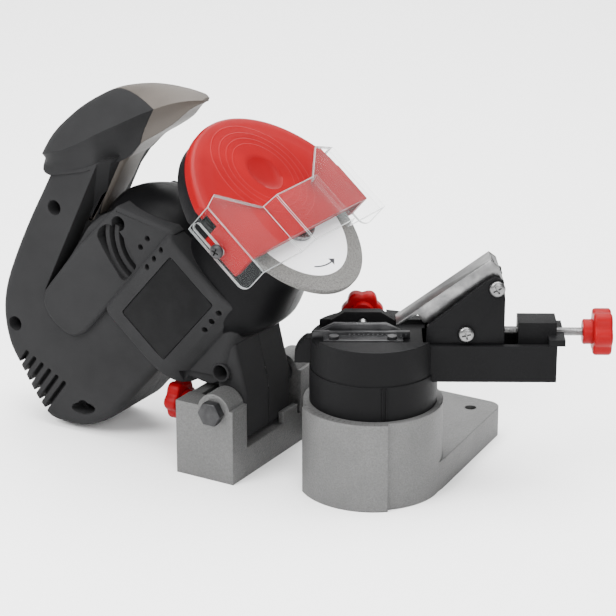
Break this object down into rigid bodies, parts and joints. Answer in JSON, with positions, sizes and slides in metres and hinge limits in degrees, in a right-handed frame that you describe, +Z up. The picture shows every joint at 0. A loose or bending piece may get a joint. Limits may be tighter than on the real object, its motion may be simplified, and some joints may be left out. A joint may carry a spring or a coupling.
{
  "type": "saw chain sharpener",
  "caption": "Bench grinder for saw chains: tilting motor head with guarded grinding wheel, depth stop, swivelling chain vise with feed screw, on a cast base.",
  "frame": {"origin": "on the vise's swivel axis, on the underside of the base", "axes": "+X from the head's hinge to the vise, +Y away from the operator's side, +Z up"},
  "size_m": [0.3614, 0.1722, 0.214],
  "materials": {
    "cast_aluminium": "sandblasted casting",
    "housing_plastic": "fine moulded texture",
    "grip_plastic": "fine moulded texture",
    "vise_plastic": "moulded",
    "red_plastic": "glossy",
    "black_plastic": "semi gloss",
    "clear_plastic": "clear polycarbonate",
    "label": "printed label, bare",
    "zinc_steel": "zinc plated",
    "black_steel": "black oxide",
    "bright_steel": "ground",
    "abrasive": "bonded grit with paper label",
    "laminated_steel": "laminated",
    "copper": "enamelled winding",
    "brass": "bare",
    "carbon": "carbon block",
    "rubber": "soft"
  },
  "bodies": {
    "base": {"base_casting": "cast_aluminium", "hinge_bolt": "black_steel", "hinge_nut": "zinc_steel", "stop_locknut": "zinc_steel"},
    "head": {"housing_front": "housing_plastic", "housing_rear": "housing_plastic", "grip_insert": "grip_plastic", "housing_screws": "black_steel", "nameplates": "label", "switch_body": "black_plastic", "cord_inlet": "rubber", "hinge_bushes": "black_plastic", "stator_core": "laminated_steel", "field_coils": "copper", "bearing_front": "bright_steel", "bearing_rear": "bright_steel", "carbon_brushes": "carbon", "brush_holders": "brass", "brush_springs": "bright_steel", "wheel_guard": "black_plastic", "guard_screws": "zinc_steel", "cover_screws": "zinc_steel", "wheel_cover": "red_plastic", "shield_screws": "zinc_steel"},
    "rotor": {"motor_shaft": "bright_steel", "armature": "laminated_steel", "commutator": "copper", "fan": "black_plastic", "inner_flange": "zinc_steel", "grinding_wheel": "abrasive", "outer_flange": "zinc_steel", "spindle_nut": "zinc_steel"},
    "rocker": {"switch_rocker": "black_plastic"},
    "shield": {"shield": "clear_plastic"},
    "vise": {"vise_body": "vise_plastic", "pivot_bolt": "zinc_steel", "front_rail": "zinc_steel", "rail_screws": "zinc_steel", "nut_block": "vise_plastic", "block_screws": "zinc_steel"},
    "lock_knob": {"lock_knob": "red_plastic"},
    "clamp": {"clamp_jaw": "zinc_steel", "clamp_screw": "zinc_steel"},
    "clamp_knob": {"clamp_knob": "red_plastic"},
    "pawl_slider": {"pawl_slider": "vise_plastic", "slider_screws": "zinc_steel"},
    "pawl": {"pawl_lever": "zinc_steel"},
    "feed": {"feed_screw": "zinc_steel", "feed_knob": "red_plastic"},
    "stop": {"stop_screw": "zinc_steel"},
    "stop_knob": {"stop_knob": "red_plastic"}
  },
  "joints": [
    {"name": "head_tilt", "type": "hinge", "parent": "base", "child": "head", "pos_m": [-0.0775, 0, 0.0424], "axis": [0, 1, 0], "range_deg": [0, 12]},
    {"name": "wheel_spin", "type": "hinge", "parent": "head", "child": "rotor", "pos_m": [-0.0553, 0, 0.146], "axis": [0.6547, 0, 0.7559], "continuous": true},
    {"name": "switch_rock", "type": "hinge", "parent": "head", "child": "rocker", "pos_m": [-0.1631, 0.028, 0.10708], "axis": [-0.7559, 0, 0.6547], "range_deg": [-8, 8]},
    {"name": "shield_slide", "type": "slide", "parent": "head", "child": "shield", "axis": [-0.7559, 0, 0.6547], "range_m": [-0.016, 0]},
    {"name": "vise_swivel", "type": "hinge", "parent": "base", "child": "vise", "pos_m": [0, 0, 0.0515], "axis": [0, 0, 1], "range_deg": [-65, 5]},
    {"name": "lock_turn", "type": "hinge", "parent": "vise", "child": "lock_knob", "pos_m": [0, 0, 0.02], "axis": [0, 0, 1], "range_deg": [0, 180]},
    {"name": "clamp_slide", "type": "slide", "parent": "vise", "child": "clamp", "axis": [-0.5, 0.866, 0], "range_m": [0, 0.001]},
    {"name": "clamp_turn", "type": "hinge", "parent": "clamp", "child": "clamp_knob", "pos_m": [-0.0202, 0.02298, 0.0915], "axis": [-0.5, 0.866, 0], "range_deg": [0, 361]},
    {"name": "pawl_slide", "type": "slide", "parent": "vise", "child": "pawl_slider", "axis": [0.866, 0.5, 0], "range_m": [-0.006, 0.006]},
    {"name": "feed_turn", "type": "hinge", "parent": "pawl_slider", "child": "feed", "pos_m": [0.10392, 0.06, 0.0915], "axis": [0.866, 0.5, 0], "range_deg": [-2701, 2701]},
    {"name": "pawl_lift", "type": "hinge", "parent": "pawl_slider", "child": "pawl", "pos_m": [0.05794, 0.03345, 0.121], "axis": [-0.5, 0.866, 0], "range_deg": [0, 35]},
    {"name": "stop_feed", "type": "slide", "parent": "base", "child": "stop", "axis": [-1, 0, 0], "range_m": [0, 0.005]},
    {"name": "stop_turn", "type": "hinge", "parent": "stop", "child": "stop_knob", "pos_m": [-0.118, -0.014, 0.031], "axis": [-1, 0, 0], "range_deg": [0, 1801]}
  ],
  "couplings": [
    {"joint": "clamp_turn", "follows": "clamp_slide", "rad_per_m": 6283.2},
    {"joint": "feed_turn", "follows": "pawl_slide", "rad_per_m": 7854},
    {"joint": "stop_turn", "follows": "stop_feed", "rad_per_m": 6283.2}
  ]
}
